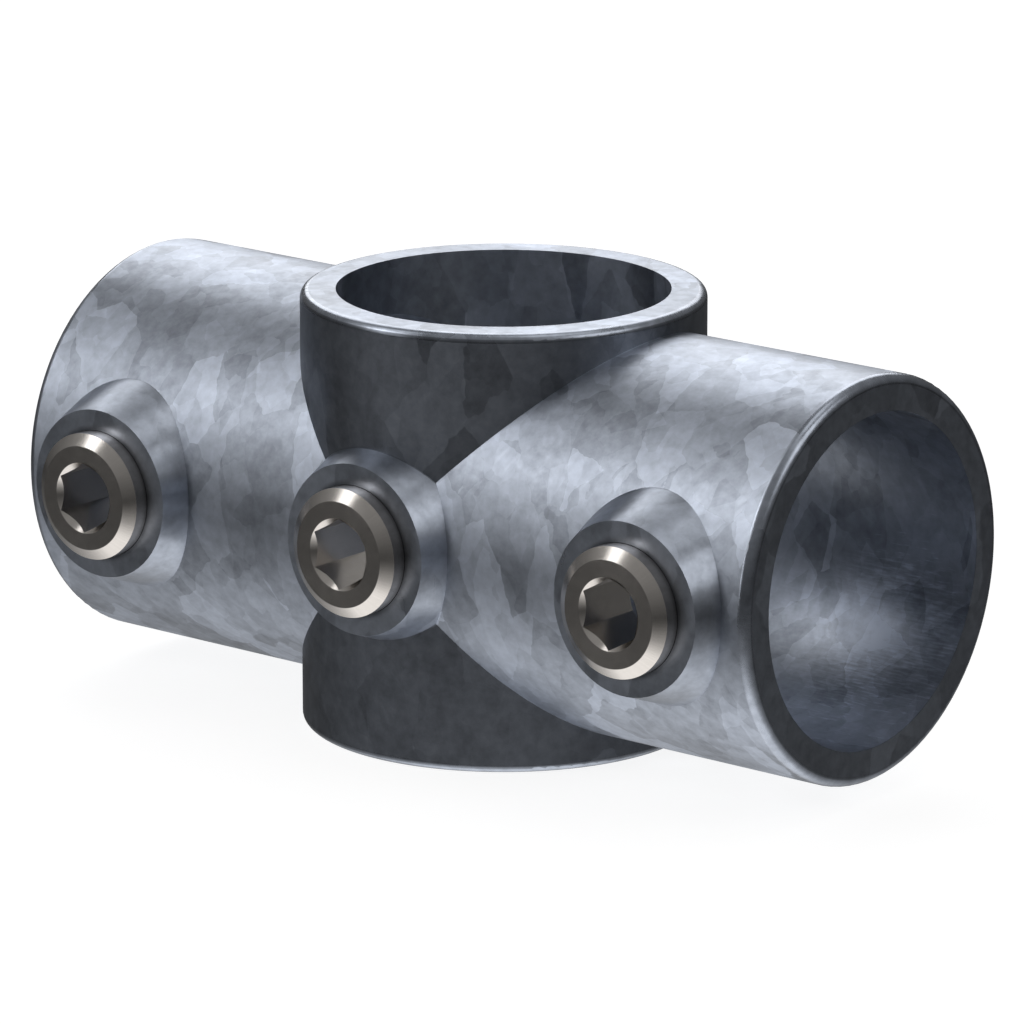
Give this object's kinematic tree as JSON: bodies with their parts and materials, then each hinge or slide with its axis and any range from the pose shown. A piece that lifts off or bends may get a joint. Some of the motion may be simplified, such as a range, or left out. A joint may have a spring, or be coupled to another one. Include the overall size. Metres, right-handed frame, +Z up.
{
  "type": "two socket cross tube clamp",
  "caption": "Cast cross fitting: an upright through bore and two opposed sockets for round tube, each held by a hexagon socket set screw in a tapered boss.",
  "frame": {"origin": "the point where the axis of the upright bore crosses the axis of the two sockets, halfway between the mouths", "axes": "+Z up the upright bore, +X along the sockets towards the right one as seen from the set screws, and the bosses and set screws on the -Y side"},
  "size_m": [0.1192, 0.0588, 0.0572],
  "materials": {
    "galvanised_casting": "hot dip galvanised, with a spangled zinc surface",
    "set_screw_steel": "turned plain steel"
  },
  "bodies": {
    "casting": {"cross_casting": "galvanised_casting"},
    "left_screw": {"left_set_screw": "set_screw_steel"},
    "middle_screw": {"middle_set_screw": "set_screw_steel"},
    "right_screw": {"right_set_screw": "set_screw_steel"}
  },
  "joints": [
    {"name": "left_screw_feed", "type": "slide", "parent": "casting", "child": "left_screw", "axis": [0, 1, 0], "range_m": [-0.004, 0.003]},
    {"name": "middle_screw_feed", "type": "slide", "parent": "casting", "child": "middle_screw", "axis": [0, 1, 0], "range_m": [-0.004, 0.003]},
    {"name": "right_screw_feed", "type": "slide", "parent": "casting", "child": "right_screw", "axis": [0, 1, 0], "range_m": [-0.004, 0.003]}
  ]
}
